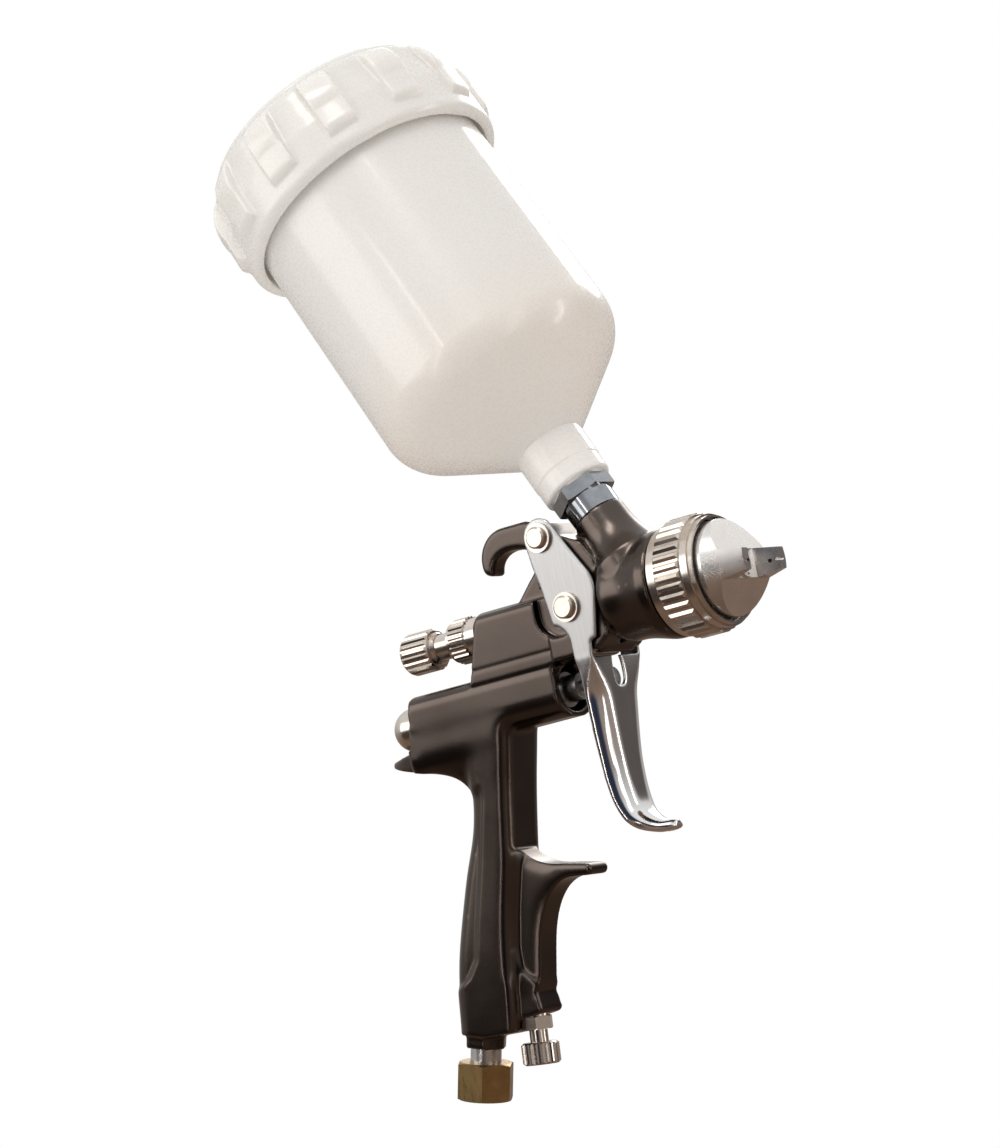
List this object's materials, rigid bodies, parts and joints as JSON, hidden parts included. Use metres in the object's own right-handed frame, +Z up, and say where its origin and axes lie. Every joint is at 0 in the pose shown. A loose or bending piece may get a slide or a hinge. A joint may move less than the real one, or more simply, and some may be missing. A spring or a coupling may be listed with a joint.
{
  "type": "hvlp spray gun",
  "caption": "Gravity-feed paint spray gun with a leaning screw-on cup, pull trigger, twin-horn air cap, hanging hook, raked handle and swivel air inlet.",
  "frame": {"origin": "seat inside the hanging hook, on the plane of symmetry", "axes": "+X is the spray direction, +Y is across the gun to its left side, +Z is up"},
  "size_m": [0.1799, 0.101, 0.3554],
  "materials": {
    "casting": "dark bronze anodised, satin",
    "polished": "polished and plated",
    "nickel": "nickel plated",
    "cap_metal": "satin nickel",
    "dark_chrome": "dark mirror plating",
    "steel": "turned",
    "brass": "machined",
    "cup_plastic": "translucent milky",
    "lid_plastic": "translucent milky",
    "seal": "matte",
    "white_seal": "PTFE",
    "mesh_plastic": "moulded"
  },
  "bodies": {
    "gun": {"gun_body": "casting", "fluid_tip": "steel", "air_baffle": "brass", "needle_packing": "white_seal", "packing_nut": "brass", "needle_spring": "steel", "rear_bushing": "nickel", "cup_fitting": "dark_chrome", "cup_strainer": "mesh_plastic", "pivot_pin": "nickel", "pivot_washers": "nickel", "air_valve_seat": "steel", "air_valve_spring": "steel", "air_valve_plug": "nickel", "inlet_nipple": "steel", "regulator_bushing": "nickel", "fan_bushing": "nickel"},
    "trigger": {"trigger": "polished", "trigger_studs": "nickel", "stud_washers": "nickel"},
    "needle": {"fluid_needle": "steel", "needle_collar": "steel"},
    "air_valve": {"air_valve": "steel"},
    "spring_seat": {"spring_seat": "steel"},
    "fluid_knob": {"fluid_knob": "nickel"},
    "regulator_seal": {"regulator_seal": "seal"},
    "regulator_knob": {"regulator_knob": "nickel"},
    "fan_knob": {"fan_knob": "nickel"},
    "retaining_ring": {"retaining_ring": "nickel", "cap_clip": "steel"},
    "air_cap": {"air_cap": "cap_metal"},
    "cup_gasket": {"cup_gasket": "white_seal"},
    "cup": {"cup": "cup_plastic"},
    "lid_gasket": {"lid_gasket": "seal"},
    "lid": {"lid": "lid_plastic", "lid_vent": "mesh_plastic"},
    "swivel_nut": {"swivel_nut": "brass"}
  },
  "joints": [
    {"name": "trigger_pull", "type": "hinge", "parent": "gun", "child": "trigger", "pos_m": [0.02, 0, -0.0002], "axis": [0, 1, 0], "range_deg": [0, 12], "stiffness_Nm_per_rad": 4, "springref_deg": -8.59},
    {"name": "needle_slide", "type": "slide", "parent": "gun", "child": "needle", "axis": [-1, 0, 0], "range_m": [0, 0.0044], "deforming": ["needle_spring"]},
    {"name": "air_valve_slide", "type": "slide", "parent": "gun", "child": "air_valve", "axis": [-1, 0, 0], "range_m": [0, 0.011], "deforming": ["air_valve_spring"]},
    {"name": "fluid_screw_slide", "type": "slide", "parent": "gun", "child": "spring_seat", "axis": [1, 0, 0], "range_m": [-0.0025, 0.0025]},
    {"name": "fluid_knob_turn", "type": "hinge", "parent": "spring_seat", "child": "fluid_knob", "pos_m": [-0.04, 0, -0.0247], "axis": [1, 0, 0], "range_deg": [-724, 724]},
    {"name": "regulator_slide", "type": "slide", "parent": "gun", "child": "regulator_seal", "axis": [0.0872, 0, 0.9962], "range_m": [-0.002, 0.002]},
    {"name": "regulator_turn", "type": "hinge", "parent": "regulator_seal", "child": "regulator_knob", "pos_m": [-0.0303, 0, -0.1681], "axis": [0.0872, 0, 0.9962], "range_deg": [-724, 724]},
    {"name": "fan_knob_turn", "type": "hinge", "parent": "gun", "child": "fan_knob", "pos_m": [0, 0.02, -0.0362], "axis": [0, 1, 0], "range_deg": [0, 270]},
    {"name": "retaining_ring_turn", "type": "hinge", "parent": "gun", "child": "retaining_ring", "pos_m": [0.07, 0, -0.0247], "axis": [1, 0, 0], "continuous": true},
    {"name": "air_cap_turn", "type": "hinge", "parent": "gun", "child": "air_cap", "pos_m": [0.08, 0, -0.0247], "axis": [1, 0, 0], "range_deg": [-90, 90]},
    {"name": "cup_lift", "type": "slide", "parent": "gun", "child": "cup_gasket", "axis": [-0.4611, 0, 0.8873], "range_m": [0, 0.0121]},
    {"name": "cup_turn", "type": "hinge", "parent": "cup_gasket", "child": "cup", "pos_m": [0.05005, 0, -0.0247], "axis": [-0.4611, 0, 0.8873], "range_deg": [0, 1080]},
    {"name": "lid_lift", "type": "slide", "parent": "cup", "child": "lid_gasket", "axis": [-0.4611, 0, 0.8873], "range_m": [0, 0.0091]},
    {"name": "lid_turn", "type": "hinge", "parent": "lid_gasket", "child": "lid", "pos_m": [0.05005, 0, -0.0247], "axis": [-0.4611, 0, 0.8873], "range_deg": [0, 540]},
    {"name": "inlet_nut_swivel", "type": "hinge", "parent": "gun", "child": "swivel_nut", "pos_m": [-0.0567, 0, -0.17576], "axis": [0.2656, 0, 0.9641], "continuous": true}
  ],
  "couplings": [
    {"joint": "needle_slide", "follows": "trigger_pull", "m_per_rad": 0.0205},
    {"joint": "air_valve_slide", "follows": "trigger_pull", "m_per_rad": 0.0515},
    {"joint": "fluid_knob_turn", "follows": "fluid_screw_slide", "rad_per_m": 5026.5},
    {"joint": "regulator_turn", "follows": "regulator_slide", "rad_per_m": 6283.2},
    {"joint": "cup_lift", "follows": "cup_turn", "m_per_rad": 0.00063662},
    {"joint": "lid_lift", "follows": "lid_turn", "m_per_rad": 0.00095493}
  ]
}
